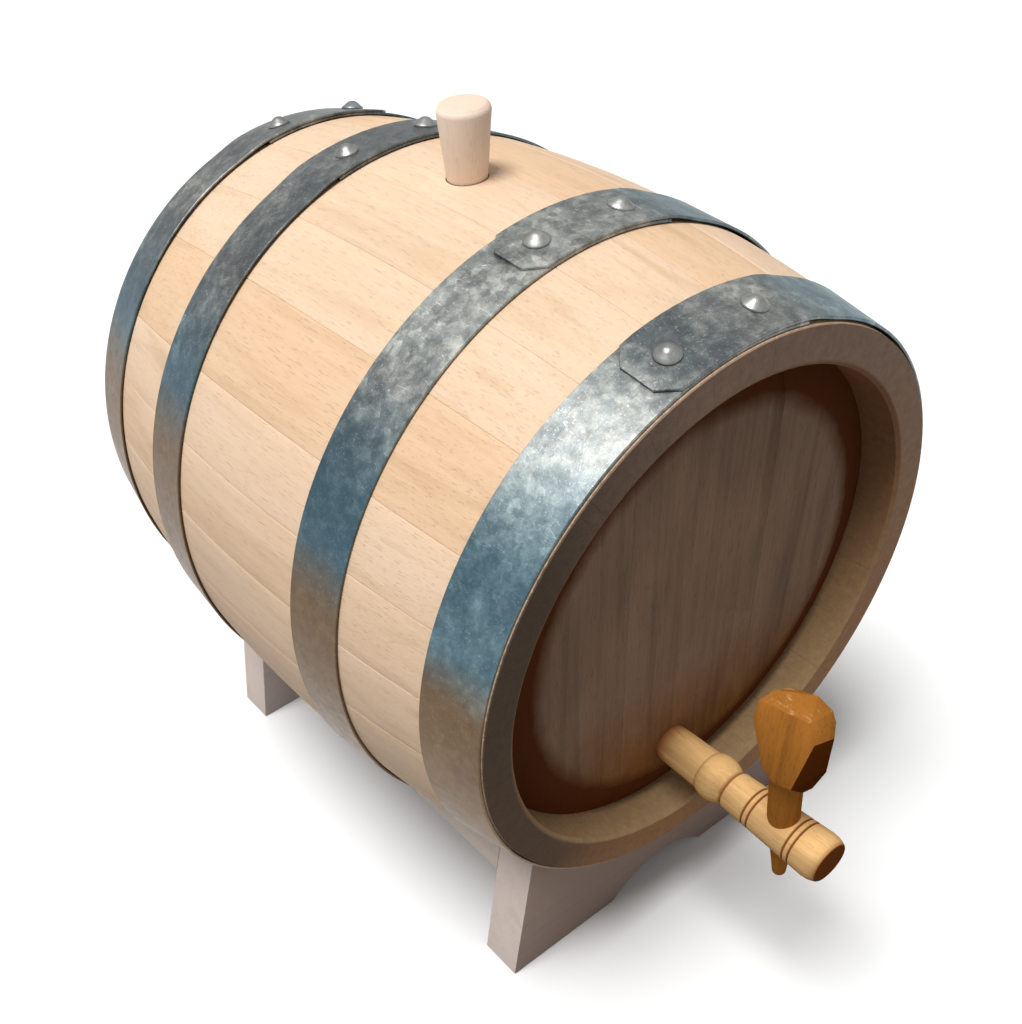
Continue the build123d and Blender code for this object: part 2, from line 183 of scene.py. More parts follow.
class BarrelColours(PropertyGroup):
    """Base colours of the finishes."""
    stave: colour("Staves", "Planed oak outside the barrel", (0.84, 0.62, 0.44))
    chime: colour("Chime", "Sawn ends of the staves", (0.37, 0.24, 0.165))
    wall: colour("Chime wall", "Inside of the chime", (0.46, 0.30, 0.155))
    # The heads' colour is darker than the staves' oak, partly as painted shade in the recessed
    # ends.
    head: colour("Heads", "Boards of the heads", (0.425, 0.275, 0.19))
    zinc: colour("Zinc", "Clean galvanised strap", (0.130, 0.150, 0.156))
    # Frosted zinc, also the colour of the painted sheen on the hoops' tops.
    frost_and_sheen: colour("Frosted zinc", "Weathered galvanised strap", (0.51, 0.51, 0.465))
    rivet: colour("Rivets", "Bright rivets", (0.34, 0.34, 0.33))
    tap: colour("Tap", "Turned tap", (0.90, 0.545, 0.23))
    key: colour("Key", "Whittled key", (0.52, 0.20, 0.036))
    bung: colour("Bung", "Turned bung", (1.0, 0.82, 0.68))
    stand: colour("Stand", "Planed boards of the stand", (0.92, 0.78, 0.70))
    dowel: colour("Dowels", "Hidden dowels", (0.55, 0.38, 0.23))
    floor: colour("Floor", "Floor round the barrel", (0.93, 0.93, 0.93))


def sizes():
    return bpy.context.scene.barrel_sizes


def colours():
    return bpy.context.scene.barrel_colours


# Node trees, for finishes and for geometry.

def arithmetic(operation):
    """An operator on signals and its reflected form."""
    def plain(self, other):
        return self.desk.maths(operation, self, other)

    def reflected(self, other):
        return self.desk.maths(operation, other, self)

    return plain, reflected


class Signal:
    """Output of a node that takes part in Python arithmetic."""
    __add__, __radd__ = arithmetic("ADD")
    __sub__, __rsub__ = arithmetic("SUBTRACT")
    __mul__, __rmul__ = arithmetic("MULTIPLY")
    __truediv__, __rtruediv__ = arithmetic("DIVIDE")

    def __init__(self, desk, socket):
        self.desk = desk
        self.socket = socket

    def ramp(self, low, high):
        """Rescaled so that low becomes 0 and high becomes 1, clamped."""
        return self.desk.node("ShaderNodeMapRange", {"clamp": True},
                              {0: self, 1: low, 2: high, 3: 0.0, 4: 1.0})

    def fall(self, low, high):
        """1 up to low and 0 from high."""
        return 1.0 - self.ramp(low, high)

    def near(self, value, inner, outer):
        """1 within inner of a value and 0 beyond outer."""
        return self.desk.maths("ABSOLUTE", self - value).fall(inner, outer)


class Desk:
    """A node tree with one method that adds nodes."""

    def __init__(self, tree):
        self.tree = tree

    def node(self, kind, settings=None, sockets=None, output=0):
        """Add a node, set its settings first, then feed its sockets."""
        node = self.tree.nodes.new(kind)
        for name, value in (settings or {}).items():
            setattr(node, name, value)
        for name, value in (sockets or {}).items():
            self.feed(node.inputs[name], value)
        return Signal(self, node.outputs[output])

    def feed(self, socket, value):
        if isinstance(value, Signal):
            self.tree.links.new(value.socket, socket)
        else:
            socket.default_value = value

    def maths(self, operation, first, second=0.0):
        """A Math node on signals or numbers."""
        return self.node("ShaderNodeMath", {"operation": operation}, {0: first, 1: second})

    def parts(self, vector):
        """The three numbers of a vector."""
        outputs = self.node("ShaderNodeSeparateXYZ", None, {0: vector}).socket.node.outputs
        return [Signal(self, output) for output in outputs]

    def joined(self, x, y, z):
        return self.node("ShaderNodeCombineXYZ", None, {0: x, 1: y, 2: z})


class Finish(Desk):
    """A procedural material being built."""

    def __init__(self, name):
        self.material = bpy.data.materials.new(name)
        self.material.use_nodes = True
        super().__init__(self.material.node_tree)
        self.place = self.node("ShaderNodeTexCoord", output="Object")

    def attribute(self, name, output="Fac"):
        return self.node("ShaderNodeAttribute", {"attribute_name": name}, output=output)

    def noise(self, where, scale, detail, roughness, distortion=0.0, turn=(0.0, 0.0, 0.0)):
        """Noise over turned coordinates, with one scale for all axes or one for each."""
        scale = scale if isinstance(scale, tuple) else (scale,) * 3
        stretched = self.node("ShaderNodeMapping", None,
                              {"Vector": where, "Rotation": turn, "Scale": scale})
        return self.node("ShaderNodeTexNoise", None, {
            "Vector": stretched, "Scale": 1.0, "Detail": detail, "Roughness": roughness,
            "Distortion": distortion}, output="Fac")

    def coats(self, tint, *layers):
        """A colour under layers of (share, colour) or (share, colour, blend mode)."""
        for share, coat, *blend in layers:
            settings = {"data_type": "RGBA", "blend_type": blend[0] if blend else "MIX"}
            tint = self.node("ShaderNodeMix", settings,
                             {0: share, 6: opaque(tint), 7: opaque(coat)}, output=2)
        return tint

    def done(self, tint, roughness, relief=None, specular=0.0, metallic=0.0):
        """Feed the shader; relief is a height, its depth in metres and its strength."""
        shader = self.tree.nodes["Principled BSDF"].inputs
        self.feed(shader["Base Color"], tint)
        self.feed(shader["Roughness"], roughness)
        self.feed(shader["Specular IOR Level"], specular)
        self.feed(shader["Metallic"], metallic)
        if relief:
            names = ("Height", "Distance", "Strength")
            bump = self.node("ShaderNodeBump", None, dict(zip(names, relief)))
            self.feed(shader["Normal"], bump)
        return self.material


def opaque(value):
    """A colour with full alpha; links pass unchanged."""
    return value if isinstance(value, Signal) else (*value[:3], 1.0)


def shade(value, factor):
    """A colour made lighter or darker."""
    return tuple(min(1.0, channel * factor) for channel in value[:3])


# Meshes and pieces.

def new_mesh(name, vertices, faces):
    mesh = bpy.data.meshes.new(name)
    mesh.from_pydata([tuple(v) for v in vertices], [], faces)
    mesh.validate()
    mesh.shade_smooth()
    return mesh


def new_object(name, data):
    thing = bpy.data.objects.new(name, data)
    bpy.context.scene.collection.objects.link(thing)
    return thing


def moved(place, angle, axis):
    """Matrix of a turn and then a move."""
    return Matrix.Translation(place) @ Matrix.Rotation(angle, 4, axis)


def from_work(name, work):
    """A smooth mesh from a bmesh, which ends here."""
    mesh = bpy.data.meshes.new(name)
    work.to_mesh(mesh)
    work.free()
    mesh.shade_smooth()
    return mesh


def outwards(mesh, merge=1e-7):
    """Merge corners nearer than a distance and turn all faces outwards."""
    work = bmesh.new()
    work.from_mesh(mesh)
    if merge:
        bmesh.ops.remove_doubles(work, verts=work.verts, dist=merge)
    bmesh.ops.recalc_face_normals(work, faces=work.faces)
    work.to_mesh(mesh)
    work.free()


def mark(mesh, name, values, domain="POINT"):
    """Give a mesh one number for each point or face, for a finish or a recipe."""
    mesh.attributes.new(name, "FLOAT", domain).data.foreach_set("value", values)


def mark_broad(mesh, axis):
    """Mark the faces that look along an axis, for finishes that differ there."""
    mark(mesh, "broad", [float(abs(face.normal[axis]) > 0.7) for face in mesh.polygons], "FACE")


def install(piece, body, nodes, crease, material=None):
    """Finish a piece: edges sharp above an angle, material, body and the nodes it stands for."""
    piece.data.set_sharp_from_angle(angle=radians(crease))
    if material:
        piece.data.materials.clear()
        piece.data.materials.append(material)
    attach(piece, body)
    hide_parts(*nodes)


def baked(piece):
    """Turn an object with modifiers into a plain mesh."""
    depsgraph = bpy.context.evaluated_depsgraph_get()
    mesh = bpy.data.meshes.new_from_object(
        piece.evaluated_get(depsgraph), preserve_all_data_layers=True, depsgraph=depsgraph)
    piece.modifiers.clear()
    old, piece.data = piece.data, mesh
    bpy.data.meshes.remove(old)
    mesh.name = piece.name
    return piece


def rounded(piece, width, degrees=30.0):
    """Round the edges of a piece that are sharper than an angle."""
    modifier = piece.modifiers.new("Rounding", "BEVEL")
    modifier.width = width
    modifier.segments = 2
    modifier.limit_method = "ANGLE"
    modifier.angle_limit = radians(degrees)
    return baked(piece)


def arc(start, end, steps, x_radius, z_radius, x=0.0, z=0.0):
    """Points (x, z) along an arc, with angles counted from +Z towards +X."""
    turns = [start + (end - start) * step / steps for step in range(steps + 1)]
    return [(x + x_radius * sin(turn), z + z_radius * cos(turn)) for turn in turns]


def prism(name, rings):
    """Closed mesh through rings of equally many points, capped at both ends."""
    count = len(rings[0])
    vertices = [point for ring in rings for point in ring]
    last = len(vertices) - count
    faces = [tuple(range(count)), tuple(reversed(range(last, last + count)))]
    for start in range(0, last, count):
        for corner in range(count):
            first, second = start + corner, start + (corner + 1) % count
            faces.append((second, first, first + count, second + count))
    return new_mesh(name, vertices, faces)


def turned(name, outline, steps):
    """Closed solid of revolution about Z from (radius, height) points, poles at both ends."""
    vertices = [(0.0, 0.0, outline[0][1])]
    for radius, height in outline:
        for step in range(steps):
            angle = tau * step / steps
            vertices.append((radius * cos(angle), radius * sin(angle), height))
    vertices.append((0.0, 0.0, outline[-1][1]))
    faces = []
    for step in range(steps):
        following = (step + 1) % steps
        faces.append((0, 1 + following, 1 + step))
        for low in range(1, 1 + (len(outline) - 1) * steps, steps):
            high = low + steps
            faces.append((low + step, low + following, high + following, high + step))
        top = 1 + (len(outline) - 1) * steps
        faces.append((top + step, top + following, len(vertices) - 1))
    mesh = new_mesh(name, vertices, faces)
    outwards(mesh)
    return mesh


# Geometry Nodes trees.

class Recipe(Desk):
    """A Geometry Nodes tree with named inputs, a geometry and a material among them."""

    def __init__(self, name, **inputs):
        super().__init__(bpy.data.node_groups.new(name, "GeometryNodeTree"))
        self.exit = self.tree.nodes.new("NodeGroupOutput")
        self.interface_socket("Geometry", "Geometry", "OUTPUT")
        inputs = {"Geometry": "Geometry", **inputs, "Material": "Material"}
        self.identifiers = {label: self.interface_socket(label, kind, "INPUT").identifier
                            for label, kind in inputs.items()}
        entry = self.tree.nodes.new("NodeGroupInput")
        self.given = {label: Signal(self, socket) for label, socket in zip(inputs, entry.outputs)}

    def interface_socket(self, label, kind, way):
        return self.tree.interface.new_socket(
            label.replace("_", " "), in_out=way, socket_type=f"NodeSocket{kind}")

    def named(self, name, kind="FLOAT"):
        return self.node("GeometryNodeInputNamedAttribute", {"data_type": kind}, {"Name": name})

    def position(self):
        return self.parts(self.node("GeometryNodeInputPosition"))

    def shape(self, label):
        """Geometry of the object that an input names."""
        return self.node(
            "GeometryNodeObjectInfo", None, {"Object": self.given[label]}, "Geometry")

    def placed(self, **sockets):
        """The blank set on every point of the geometry."""
        return self.node("GeometryNodeInstanceOnPoints", None, {
            "Points": self.given["Geometry"], "Instance": self.shape("Blank"), **sockets})

    def real(self, geometry):
        return self.node("GeometryNodeRealizeInstances", None, {"Geometry": geometry})

    def store(self, geometry, name, kind, value):
        """Keep a value on the faces' corners, where a cut through the mesh keeps it too."""
        return self.node(
            "GeometryNodeStoreNamedAttribute", {"data_type": kind, "domain": "CORNER"},
            {"Geometry": geometry, "Name": name, "Value": value})

    def bend(self, geometry, angle, along, radius):
        """Move each point to its angle and radius round the barrel."""
        height = self.given["Axis_height"] + radius * self.maths("COSINE", angle)
        place = self.joined(radius * self.maths("SINE", angle), along, height)
        return self.node(
            "GeometryNodeSetPosition", None, {"Geometry": geometry, "Position": place})

    def end(self, geometry):
        """Close the tree with real geometry in one material."""
        painted = self.node("GeometryNodeSetMaterial", None, {
            "Geometry": self.real(geometry), "Material": self.given["Material"]})
        self.feed(self.exit.inputs["Geometry"], painted)
        return self

    def apply(self, piece, **values):
        """Run the tree on a piece and keep the result as a plain mesh."""
        modifier = piece.modifiers.new(self.tree.name, "NODES")
        modifier.node_group = self.tree
        for label, value in values.items():
            modifier[self.identifiers[label]] = value
        return baked(piece)


def wrapping_recipe():
    """Bends a flat blank round the barrel: X is the angle, Y the place along, Z the radius."""
    recipe = Recipe(
        "Bend round the barrel", Axis_height="Float", Direction="Float", Lap_angle="Float")
    angle, along, radius = recipe.position()
    angle = recipe.given["Direction"] * angle + recipe.given["Lap_angle"]
    return recipe.end(recipe.bend(recipe.given["Geometry"], angle, along, radius))


def staves_recipe():
    """Sets a stave blank into every place round the barrel and bends it to its width."""
    recipe = Recipe("Raise the staves", Blank="Object", Axis_height="Float", Seam_gap="Float",
                    Bung_hole="Object")
    geometry = recipe.real(recipe.placed())
    across, along, radius = recipe.position()
    width = recipe.named("width")
    gap = recipe.given["Seam_gap"] * (across - 0.5) / radius
    angle = recipe.named("start") + width * across - gap
    grain = recipe.joined((across - 0.5) * (width * radius), along, radius)
    geometry = recipe.store(geometry, "grain", "FLOAT_VECTOR", grain)
    geometry = recipe.store(geometry, "shade", "FLOAT", recipe.named("tone"))
    bent = recipe.bend(geometry, angle, along, radius)
    return recipe.end(recipe.node(
        "GeometryNodeMeshBoolean", {"operation": "DIFFERENCE", "solver": "EXACT"},
        {"Mesh 1": bent, "Mesh 2": recipe.shape("Bung_hole")}, "Mesh"))


def rivets_recipe():
    """Sets a rivet on every point, turned as the point says."""
    recipe = Recipe("Set the rivets", Blank="Object")
    return recipe.end(recipe.placed(Rotation=recipe.named("turn", "FLOAT_VECTOR")))


# Finishes.  Noise scales are in patterns per metre; places and distances are in metres.

def spread(finish, where, seed, amount):
    """Coordinates moved by a seed signal, so that each board shows another part of a pattern."""
    shift = finish.joined(seed * amount, seed * (amount * 0.7), seed * (amount * 1.3))
    return finish.node("ShaderNodeVectorMath", {"operation": "ADD"}, {0: where, 1: shift})


def wood(finish, where, along, base, dark, pale, strength=1.0):
    """Grain, pores and figure of planed wood. Returns its colour and its relief."""
    def grain(across, lengthwise, *character):
        scale = tuple(lengthwise if axis == along else across for axis in range(3))
        return finish.noise(where, scale, *character)

    figure = grain(150.0, 7.0, 4.0, 0.55, 0.6)
    bands = grain(520.0, 12.0, 3.0, 0.5, 0.3)
    fibre = grain(2100.0, 70.0, 2.0, 0.6)
    pores = grain(3000.0, 210.0, 1.0, 0.5).ramp(0.62, 0.74)
    patches = grain(60.0, 22.0, 2.0, 0.5)
    tint = finish.coats(
        base,
        (figure.ramp(0.50, 0.72) * (0.75 * strength), dark),
        (bands.ramp(0.50, 0.75) * (0.32 * strength), dark),
        (patches.ramp(0.45, 0.75) * (0.55 * strength), pale),
        (fibre.ramp(0.35, 0.75) * (0.22 * strength), dark),
        (pores * (0.35 * strength), shade(dark, 0.6)))
    return tint, fibre * 0.6 + bands * 0.5 - pores * 0.9


def stave_finish():
    """Planed oak outside, darker sawn wood on the stave ends and the chime's inside."""
    own = colours()
    finish = Finish("Planed oak staves")
    grain = finish.attribute("grain", "Vector")
    tone = finish.attribute("shade")
    where = spread(finish, grain, tone, 1.7)
    _, along, radius = finish.parts(grain)
    across, _, height = finish.parts(finish.place)
    tint, relief = wood(
        finish, where, Y, own.stave, (0.56, 0.385, 0.215), (0.90, 0.72, 0.56), 0.62)
    worn = finish.noise(grain, 900.0, 3.0, 0.6)
    from_end = HALF_LENGTH - finish.maths("ABSOLUTE", along - MIDDLE)
    sawn = (from_end - worn * 0.0006).fall(0.00005, 0.0004)
    wall = radius.fall(MOUTH - 0.0004, MOUTH + 0.0006)
    rough = finish.noise(where, 420.0, 5.0, 0.7)
    ground = rough.ramp(0.3, 0.75)
    # Painted shade on the left of the stave ends, above their lowest part.
    painted_shade_left = 0.8 - across.ramp(-0.062, -0.015) * 0.8
    painted_shade_left = painted_shade_left * height.ramp(AXIS - 0.085, AXIS - 0.055)
    ends = finish.coats(
        own.chime, (ground, shade(own.chime, 0.66)),
        (height.fall(AXIS - 0.05, AXIS + 0.06), (1.3, 1.0, 0.62), "MULTIPLY"),
        (painted_shade_left, (0.030, 0.022, 0.013)))
    # The chime's inside is painted darker towards the top, as painted shade where it faces down.
    sides = finish.coats(
        own.wall, (ground, shade(own.wall, 0.7)),
        (height.ramp(AXIS - 0.055, AXIS + 0.05), (0.62, 0.42, 0.36), "MULTIPLY"))
    tint = finish.coats(
        tint,
        (tone.ramp(0.0, 1.0) * 0.35, (1.0, 0.92, 0.84), "MULTIPLY"),
        (tone.ramp(0.75, 1.0) * 0.4, (0.90, 0.80, 0.66), "MULTIPLY"),
        (sawn, ends), (wall, sides))
    ripple = finish.noise(where, (60.0, 480.0, 60.0), 2.0, 0.5)
    gloss = finish.noise(where, (300.0, 30.0, 300.0), 2.0, 0.5)
    relief = relief + sawn * rough * 1.2 + ripple * 0.5
    return finish.done(tint, 0.52 + gloss * 0.16, (relief, 0.00016, 0.55), specular=0.12)


def head_finish():
    """Boards of a head: upright grain, painted shade towards the rim, and darker low down."""
    base = colours().head
    finish = Finish("Head boards")
    x, y, z = finish.parts(finish.place)
    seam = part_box("front_head_middle_board")[1].x
    board = finish.maths("FLOOR", (x + seam) / (2 * seam)) + y.ramp(0.02, 0.03) * 3.0
    where = spread(finish, finish.place, board, 0.37)
    tint, relief = wood(finish, where, Z, base, shade(base, 0.55), shade(base, 1.35))
    height = z - AXIS
    radius = finish.maths("SQRT", x * x + height * height)
    blur = finish.noise(finish.place, 160.0, 3.0, 0.5)
    # The ring round the head's edge is darkened as painted shade, further in on the left as
    # painted shadow of the chime wall.
    shadowed = x.ramp(-0.010, -0.060) * 0.003
    rim = (radius + shadowed + (blur - 0.5) * 0.003).ramp(0.0575, 0.0630)
    lower = (height + (blur - 0.5) * 0.02).fall(-0.055, -0.015)
    tint = finish.coats(tint, (lower, (0.82, 0.56, 0.25), "MULTIPLY"),
                        (rim * 0.97, (0.150, 0.045, 0.016)))
    return finish.done(tint, 0.62 + blur * 0.12, (relief, 0.00014, 0.6))


def zinc_finish(name, base, frost_and_sheen, bias):
    """Galvanised steel with crystals, specks, scratches and weathered frosting.

    The frosting rises towards the top as painted sheen. Lower down it has a painted bluish and
    then a painted brownish reflection, stronger on the -X side.
    """
    finish = Finish(name)
    place = finish.place
    across, along, height = finish.parts(place)
    level = (height - AXIS) / BELLY
    cloud = finish.noise(place, 32.0, 6.0, 0.6)
    grit = finish.noise(place, 1500.0, 3.0, 0.65)
    rubbed = finish.noise(place, 260.0, 5.0, 0.7)
    stain = finish.noise(place, 165.0, 7.0, 0.72)
    crystals = finish.node("ShaderNodeTexVoronoi", {"feature": "F1"},
                           {"Vector": place, "Scale": 480.0, "Randomness": 1.0}, "Color")
    facet = finish.node("ShaderNodeSeparateColor", None, {0: crystals})

    behind = along.ramp(-0.060, -0.035)
    front_bilge = behind - along.ramp(0.0, 0.03)
    # A cloud of weathering; its rise towards the top, the changes at the very top of each hoop
    # and the drop on the rear hoops are painted sheen.
    weather_and_sheen = cloud + level.ramp(0.0, 0.9) * bias
    weather_and_sheen = weather_and_sheen + level.ramp(0.84, 0.95) * (front_bilge * 0.28 - 0.20)
    weather_and_sheen = weather_and_sheen + 0.05 - behind * 0.05
    veil = (weather_and_sheen + (rubbed - 0.5) * 0.5).ramp(0.50, 0.86)

    scratch = 0.0
    for turn, value in (((0.4, 0.9, 0.3), 0.5), ((1.2, 0.2, 1.1), 0.47)):
        streak = finish.noise(place, (420.0, 26.0, 420.0), 1.0, 0.4, turn=turn)
        scratch = streak.near(value, 0.0, 0.005) + scratch
    scratch = scratch * rubbed.ramp(0.50, 0.60) * weather_and_sheen.ramp(0.50, 0.66)

    # Painted reflections: brownish on the lowest part, bluish above it and on the +X side, both
    # weakened further towards +X.
    low = (level + (cloud - 0.5) * 0.12 - along.ramp(-0.070, 0.060) * 0.17).fall(0.17, 0.33)
    away = finish.maths("MAXIMUM", across.ramp(0.016, 0.036), level.fall(0.56, 0.78))
    muted = 1.0 - across.ramp(0.020, 0.070) * 0.7
    brown_reflection, blue_reflection = low * muted, away * (1.0 - low) * muted

    tint = finish.coats(
        base,
        (facet.ramp(0.0, 1.0) * 0.45, shade(base, 0.5)),
        (rubbed.ramp(0.50, 0.78) * 0.35, shade(frost_and_sheen, 0.7)),
        (veil * (0.35 + facet * 0.65), frost_and_sheen),
        (stain.ramp(0.42, 0.64) * 0.62, shade(base, 0.5)),
        (grit.ramp(0.59, 0.71) * 0.5, shade(frost_and_sheen, 1.05)),
        (scratch * 0.6, (0.85, 0.86, 0.85)),
        (blue_reflection, (0.60, 0.88, 1.0), "MULTIPLY"), (blue_reflection * 0.35, (0.085, 0.175, 0.250)),
        (brown_reflection * 0.6, (0.20, 0.155, 0.120)), (brown_reflection, (0.90, 0.66, 0.43), "MULTIPLY"))
    relief = facet * 0.3 + grit * 0.5 + rubbed
    return finish.done(tint, 0.33 + facet * 0.08 + veil * 0.16, (relief, 0.0001, 0.4),
                       specular=0.5, metallic=0.9)


def tap_finish():
    """Oiled fruit wood, darker in the turned rings and on the end, with painted shadow where it
    meets the head.
    """
    base = colours().tap
    finish = Finish("Turned tap wood")
    tint, relief = wood(finish, finish.place, Y, base, shade(base, 0.5), (0.82, 0.52, 0.25), 1.1)
    # Darker turned rings and end, and painted shadow where the shank meets the head.
    tint = finish.coats(tint, (finish.attribute("mark"), (0.24, 0.068, 0.017)))
    return finish.done(tint, 0.5, (relief, 0.0001, 0.45))


def key_finish():
    """Reddish whittled key wood: pale cuts on top, painted shade and scores on the front facet.
    """
    base = colours().key
    finish = Finish("Whittled key wood")
    cut, under, rise = [finish.attribute(name) for name in ("cut", "under", "rise")]
    tint, relief = wood(finish, finish.place, Z, base, shade(base, 0.42), shade(base, 1.5), 0.9)
    nick = finish.noise(finish.place, 330.0, 4.0, 0.65)
    slices = finish.noise(finish.place, (1500.0, 120.0, 300.0), 2.0, 0.5)
    pale = cut * (nick + (slices - 0.5) * 0.6).ramp(0.56, 0.70)
    waver = (nick - 0.5) * 0.0012
    score = 0.0
    for height in (0.0262, 0.0278, 0.0294):
        score = (rise + waver).near(height, 0.0001, 0.0004) + score
    score = score * under * nick.ramp(0.42, 0.52)
    # The facet facing the front is painted dark as painted shade; its score lines are saw marks.
    tint = finish.coats(
        tint, (cut * 0.75, shade(base, 0.62)), (pale * 0.45, (0.78, 0.45, 0.23)),
        (under * 0.92, (0.14, 0.030, 0.005)), (score * 0.8, (0.02, 0.008, 0.003)))
    return finish.done(tint, 0.52, (relief + nick * 0.5 - score * 1.5, 0.00016, 0.5))


def plain_wood(name, along, base, dark, pale, strength=0.7, rough=0.6, broad=(1.0, 1.0, 1.0)):
    """Planed wood with its grain along one axis; broad tints the faces marked as broad."""
    finish = Finish(name)
    tint, relief = wood(finish, finish.place, along, base, dark, pale, strength)
    tint = finish.coats(tint, (finish.attribute("broad"), broad, "MULTIPLY"))
    gloss = finish.noise(finish.place, 300.0, 2.0, 0.5)
    return finish.done(tint, rough + gloss * 0.12, (relief, 0.00014, 0.5), specular=0.25)


def seen_rays(desk):
    """1 for rays that show the surroundings, 0 for rays that only carry light."""
    rays = desk.node("ShaderNodeLightPath").socket.node.outputs
    camera, glossy, through = [
        Signal(desk, rays[f"Is {name} Ray"]) for name in ("Camera", "Glossy", "Transmission")]
    return desk.maths("MINIMUM", camera + glossy + through, 1.0)


def stage_finish():
    """Pale matt floor that throws little light back on the barrel."""
    base = colours().floor
    finish = Finish("Pale floor")
    mottle = finish.noise(finish.place, 6.0, 3.0, 0.5)
    tint = finish.coats(base, (mottle * 0.25, shade(base, 0.97)))
    tint = finish.coats(shade(base, 0.22), (seen_rays(finish), tint))
    return finish.done(tint, 0.9)


# Pieces.

class BARREL_OT_raise_staves(Operator):
    """Raise the staves of the shell"""
    bl_idname = "barrel.raise_staves"
    bl_label = "Raise Staves"

    def outline(self):
        """Lengthwise section as (y, radius, how much the seam's rounding cuts in)."""
        own = sizes()
        outer_steps, inner_steps = 44, 8
        chime = MOUTH - own.chime_bevel
        recess = own.head_depth + HEAD_BEVEL
        section = []
        for step in range(outer_steps + 1):
            y = FRONT + (REAR - FRONT) * step / outer_steps
            section.append((y, outer_radius(y), 1.0))
        section += [(REAR, MOUTH, 0.5), (REAR - own.chime_bevel, chime, 0.0),
                    (REAR - recess, chime, 0.0)]
        for step in range(inner_steps + 1):
            y = REAR - recess - (REAR - FRONT - 2 * recess) * step / inner_steps
            section.append((y, outer_radius(y) - own.stave_thickness, 0.0))
        return section + [(FRONT + recess, chime, 0.0), (FRONT + own.chime_bevel, chime, 0.0),
                          (FRONT, MOUTH, 0.5)]

    def blank(self):
        """One stave drawn flat: X is the share of its width, Y along, Z the radius."""
        arris = sizes().stave_arris
        shares = (0.0, 0.006, 0.018, 0.17, 0.33, 0.5, 0.67, 0.83, 0.982, 0.994, 1.0)
        drops = (1.0, 0.35, *[0.0] * 7, 0.35, 1.0)
        section = self.outline()
        return new_object("stave_blank", prism("stave_blank", [
            [(share, y, radius - drop * cut * arris) for y, radius, cut in section]
            for share, drop in zip(shares, drops)]))

    def drill(self):
        """Tapered plug that cuts the bung hole, a little wider than the bung."""
        centre, foot, low, wide, high, _ = bung_taper()
        room, below = sizes().bung_room, 0.004
        slope = (wide - foot) / (high - low)
        outline = [(foot + room - slope * below, low - below), (wide + room, high)]
        mesh = turned("bung_drill", outline, 64)
        mesh.transform(Matrix.Translation((centre.x, centre.y, 0)))
        return new_object("bung_drill", mesh)

    def execute(self, context):
        starts, widths = zip(*stave_spans())
        golden = 0.618034
        tones = [(0.37 + golden * number) % 1.0 for number in range(len(starts))]
        mesh = new_mesh("staves", [(0.0, 0.0, 0.0)] * len(starts), [])
        for name, values in (("start", starts), ("width", widths), ("tone", tones)):
            mark(mesh, name, values)
        piece = new_object("staves", mesh)
        blank, drill = self.blank(), self.drill()
        staves_recipe().apply(piece, Blank=blank, Axis_height=AXIS,
                              Seam_gap=sizes().seam_gap, Bung_hole=drill,
                              Material=stave_finish())
        bpy.data.objects.remove(blank)
        bpy.data.objects.remove(drill)
        outwards(piece.data, merge=None)
        install(piece, "barrel", STAVES, 32)
        return {"FINISHED"}


def strap_seat(hoop):
    """Place, width and front and back radius of a hoop's strap on the staves."""
    low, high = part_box(f"{hoop}_hoop")
    centre, width = (low.y + high.y) / 2, high.y - low.y
    front = outer_radius(centre - width / 2)
    back = outer_radius(centre + width / 2)
    lift = outer_radius(centre) - (front + back) / 2 + sizes().hoop_lift
    return centre, width, front + lift, back + lift


class BARREL_OT_drive_hoops(Operator):
    """Drive the four hoops of galvanised strap"""
    bl_idname = "barrel.drive_hoops"
    bl_label = "Drive Hoops"

    def stations(self, lap, step):
        """Angles at which the strap's section is drawn, from the lapped end to the other."""
        usual_radius = 0.09
        clip = sizes().lap_clip / usual_radius
        places = [-lap, -lap + clip * 0.34, -lap + clip * 0.67, -lap + clip]
        for start, span, count in ((-lap + clip, 2 * lap - clip, 10), (lap, step, 8),
                                   (lap + step, tau - step, 190)):
            places += [start + span * number / count for number in range(1, count + 1)]
        return places

    def blank(self, hoop):
        """The strap drawn flat: X is the angle, Y along the barrel, Z the radius."""
        own = sizes()
        centre, width, front, back = strap_seat(hoop)
        middle = (front + back) / 2
        lap, step = own.lap_half / middle, own.joggle / middle
        thick, edge = own.strap_thickness, own.strap_arris
        skin = 0.97 * thick  # leaves a hair between the layers of the lap
        spring_centre, spring_width = 0.35, 0.32  # angles, counted from the lap's end
        rings = []
        for angle in self.stations(lap, step):
            level = min(1.0, max(0.0, (lap + step - angle) / step))
            level = level * level * (3 - 2 * level)
            half = width / 2 - max(0.0, own.lap_clip - (angle + lap) * middle)
            beside = (angle - lap - spring_centre) / spring_width
            spring = own.lap_spring * exp(-beside ** 2)
            ring = []
            for across, height in (
                    (-half, edge), (-half, skin - edge), (-half + edge, skin),
                    (half - edge, skin), (half, skin - edge), (half, edge),
                    (half - edge, 0.0), (-half + edge, 0.0)):
                share = across / width + 0.5
                radius = front + (back - front) * share + level * thick + height
                ring.append((angle, centre + across, radius + spring * (1 - share) ** 2))
            rings.append(ring)
        return new_object(f"{hoop}_strap", prism(f"{hoop}_strap", rings))

    def execute(self, context):
        own = colours()
        recipe = wrapping_recipe()
        finish = zinc_finish("Galvanised strap", own.zinc, own.frost_and_sheen, 0.20)
        for hoop in HOOPS:
            piece = self.blank(hoop)
            recipe.apply(piece, Axis_height=AXIS, Material=finish,
                         Direction=-1.0 if hoop.startswith("rear") else 1.0,
                         Lap_angle=lap_angle(hoop))
            outwards(piece.data)
            install(piece, "barrel", [f"{hoop}_hoop"], 30)
        return {"FINISHED"}


